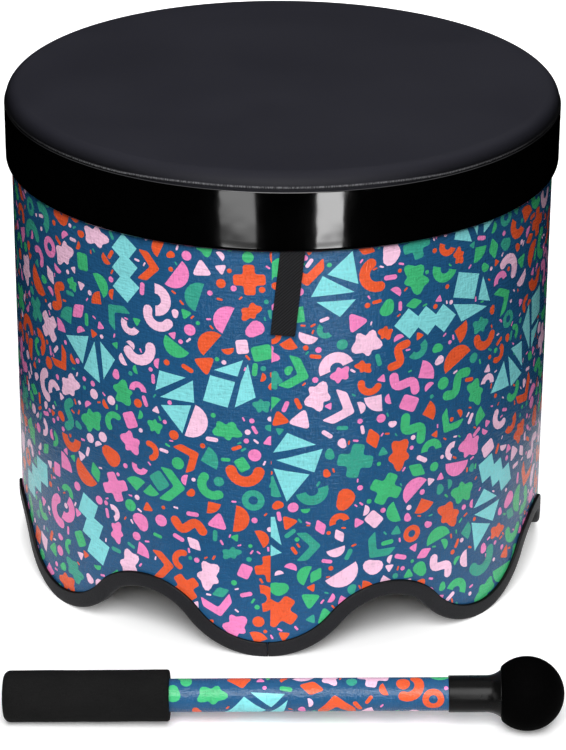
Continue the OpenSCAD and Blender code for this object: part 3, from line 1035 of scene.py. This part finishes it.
def dress_inner_nodes():
    """Materials for the CAD pieces that show only from below or not at all."""
    shell = plain_fibre("fibre_shell", linear(176, 148, 112), scale=30.0)
    hoop = plain_fibre("hoop_wood", linear(150, 118, 80), scale=45.0)
    ring = rubber("edge_plastic", linear(60, 60, 62), roughness=0.6, grain_scale=500.0,
                  grain_depth=0.1 * MM, specular=0.3)
    stick = plain_fibre("stick_wood", linear(205, 172, 124), scale=60.0)
    for node, mat, slot in (("shell", shell, "fibre_shell"), ("rim_hoop", hoop, "hoop_wood"),
                            ("edge_ring", ring, "edge_plastic"), ("mallet_stick", stick, "stick_wood")):
        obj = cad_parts[node]
        obj.data.materials.clear()
        obj.data.materials.append(mat)


# Stage: floor, world, lamps and camera

FLOOR_HALF = 6

# Light that the floor sends back: none in front of the table's edge, and less to what is further away
TABLE_FRONT = -0.42
TABLE_FADE = 0.08
BOUNCE = 0.9
BOUNCE_FULL, BOUNCE_END = 0.24, 0.34

# White that the floor adds for the camera alone. It starts under the drum's edge and is full far away, by the
# distance from the middle. Near the drum it is weaker in front, by Y, so that the mallet keeps its shadow
LIFT_START, LIFT_FULL = 0.168, 0.22
LIFT_FRONT_Y, LIFT_BACK_Y = -0.27, -0.05
LIFT_FRONT, LIFT_BACK = 0.13, 0.5
FAR_START, FAR_FULL = 0.7, 1.6

# Light strips that the gloss shows: the ends along X, and the heights with their strengths
STRIP_Y = -0.73
LEFT_STRIP = (-0.287, -0.117)
LEFT_RUNGS = ((0.30, 4.5), (0.131, 4.4), (0.106, 0.7), (0.08, 1.2), (0.06, 6.0), (0.005, 6.0))
RIGHT_STRIP = (0.155, 0.287)
RIGHT_RUNGS = ((0.30, 12.4), (0.117, 12.4), (0.100, 4.5), (0.08, 5.0), (0.06, 15.0), (0.005, 15.0))


def make_floor():
    """Pale floor. It sends light back to what is near it only, and away from the object it is plain white."""
    mesh = bpy.data.meshes.new("floor")
    signs = ((-1, -1), (1, -1), (1, 1), (-1, 1))
    mesh.from_pydata([(x * FLOOR_HALF, y * FLOOR_HALF, 0) for x, y in signs], [], [(0, 1, 2, 3)])
    mat, tree, bsdf = new_material("floor")
    path = add(tree, "ShaderNodeLightPath").outputs
    seen = path["Is Camera Ray"]
    place = coordinates(tree, "Object", (1, 1, 1))
    y = axes(tree, place)["Y"]
    near = fade(tree, path["Ray Length"], BOUNCE_END, BOUNCE_FULL, 0.0, BOUNCE)
    bounce = maths(tree, "MULTIPLY", near, fade(tree, y, TABLE_FRONT, TABLE_FRONT + TABLE_FADE))
    paper = ramp(tree, noise(tree, place, 3.0, 2.0), 0.97, 0.99)
    link(tree, mix(tree, seen, bounce, paper), bsdf.inputs["Base Color"])
    bsdf.inputs["Roughness"].default_value = 0.95
    bsdf.inputs["Specular IOR Level"].default_value = 0.0
    away = add(tree, "ShaderNodeVectorMath", {"operation": "LENGTH"})
    link(tree, place, away.inputs[0])
    outside = fade(tree, away.outputs["Value"], LIFT_START, LIFT_FULL)
    behind = fade(tree, y, LIFT_FRONT_Y, LIFT_BACK_Y, LIFT_FRONT, LIFT_BACK)
    far = fade(tree, away.outputs["Value"], FAR_START, FAR_FULL)
    lift = maths(tree, "MAXIMUM", maths(tree, "MULTIPLY", outside, behind), far)
    bsdf.inputs["Emission Color"].default_value = (1, 1, 1, 1)
    link(tree, maths(tree, "MULTIPLY", seen, lift), bsdf.inputs["Emission Strength"])
    new_object("floor", mesh, mat)


def make_world():
    """White to the camera, a faint even light on the object, and dark to gloss so that black stays black."""
    world = bpy.data.worlds.new("studio")
    bpy.context.scene.world = world
    world.use_nodes = True
    tree = world.node_tree
    background = tree.nodes["Background"]
    seen = add(tree, "ShaderNodeLightPath")
    dim = maths(tree, "MULTIPLY", maths(tree, "SUBTRACT", 1.0, seen.outputs["Is Glossy Ray"]), 0.05)
    link(tree, maths(tree, "MAXIMUM", dim, seen.outputs["Is Camera Ray"]), background.inputs["Strength"])
    background.inputs["Color"].default_value = (1, 1, 1, 1)


def make_lamp(name, place, target, size, watts, on_gloss=True):
    """A square soft lamp. With on_gloss off it leaves no shine."""
    lamp = bpy.data.lights.new(name, "AREA")
    lamp.shape = "SQUARE"
    lamp.size = size
    lamp.energy = watts
    obj = bpy.data.objects.new(name, lamp)
    obj.location = place
    obj.rotation_mode = "QUATERNION"
    obj.rotation_quaternion = (Vector(target) - Vector(place)).to_track_quat("-Z", "Y")
    obj.visible_glossy = on_gloss
    bpy.context.scene.collection.objects.link(obj)


def make_strip(name, ends, rungs):
    """An upright light panel that only gloss can see. Its strength goes from rung to rung."""
    corners = [(x, STRIP_Y, z) for z, _ in rungs for x in ends]
    faces = [(2 * k, 2 * k + 1, 2 * k + 3, 2 * k + 2) for k in range(len(rungs) - 1)]
    mesh = bpy.data.meshes.new(name)
    mesh.from_pydata(corners, [], faces)
    power = mesh.attributes.new("power", "FLOAT", "POINT")
    power.data.foreach_set("value", [strength for _, strength in rungs for _ in ends])
    mat = bpy.data.materials.new(name)
    mat.use_nodes = True
    tree = mat.node_tree
    tree.nodes.clear()
    glow = add(tree, "ShaderNodeEmission")
    share = add(tree, "ShaderNodeAttribute", {"attribute_name": "power"})
    link(tree, share.outputs["Fac"], glow.inputs["Strength"])
    target = add(tree, "ShaderNodeOutputMaterial")
    link(tree, glow.outputs["Emission"], target.inputs["Surface"])
    mat.cycles.emission_sampling = "NONE"
    strip = new_object(name, mesh, mat)
    strip.visible_camera = False
    strip.visible_diffuse = False
    strip.visible_shadow = False
    strip.visible_transmission = False


# Camera fitted to the photograph: its focal length and the place of its target are in the picture's pixels
CAMERA_FOCUS_PX = 2991.8
CAMERA_AWAY = 2.3139
CAMERA_RISE = math.radians(23.334)
CAMERA_TARGET = Vector((0, 0, 0.175))
TARGET_PX = (280.78, 327.68)
CAMERA_ROLL = math.radians(0.345)
IMAGE_W, IMAGE_H = 566, 750
SENSOR = 36


def make_camera():
    """Looks at the drum from the front and above, turned so that the target falls on its pixel."""
    data = bpy.data.cameras.new("camera")
    data.sensor_width = SENSOR
    data.lens = SENSOR * CAMERA_FOCUS_PX / IMAGE_H
    camera = bpy.data.objects.new("camera", data)
    bpy.context.scene.collection.objects.link(camera)
    back = Vector((0, -math.cos(CAMERA_RISE), math.sin(CAMERA_RISE)))
    camera.location = CAMERA_TARGET + back * CAMERA_AWAY
    pitch = CAMERA_RISE + math.atan((IMAGE_H / 2 - TARGET_PX[1]) / CAMERA_FOCUS_PX)
    yaw = math.atan((TARGET_PX[0] - IMAGE_W / 2) / CAMERA_FOCUS_PX)
    aim = Matrix.Rotation(yaw, 4, "Z") @ Matrix.Rotation(math.pi / 2 - pitch, 4, "X")
    turn = aim @ Matrix.Rotation(CAMERA_ROLL, 4, "Z")
    camera.rotation_mode = "QUATERNION"
    camera.rotation_quaternion = turn.to_quaternion()
    bpy.context.scene.camera = camera


make_camera()
dress_inner_nodes()
make_cover()
make_trim()
make_band()
make_head()
make_strap()
make_ball()
make_collar()
make_grip()
make_sleeve()
make_floor()
make_world()
make_lamp("front_lamp", place=(-0.1, -2.2, 2.0), target=(0, 0, 0.15), size=1.8, watts=104)
make_lamp("top_lamp", place=(0.1, 0.3, 2.6), target=(0, 0.3, 0), size=2.2, watts=12)
make_lamp("back_lamp", place=(0.5, 2.2, 1.8), target=(0, 0, 0.15), size=1.8, watts=38, on_gloss=False)
make_strip("left_strip", LEFT_STRIP, LEFT_RUNGS)
make_strip("right_strip", RIGHT_STRIP, RIGHT_RUNGS)
bpy.context.scene.view_settings.view_transform = "Standard"
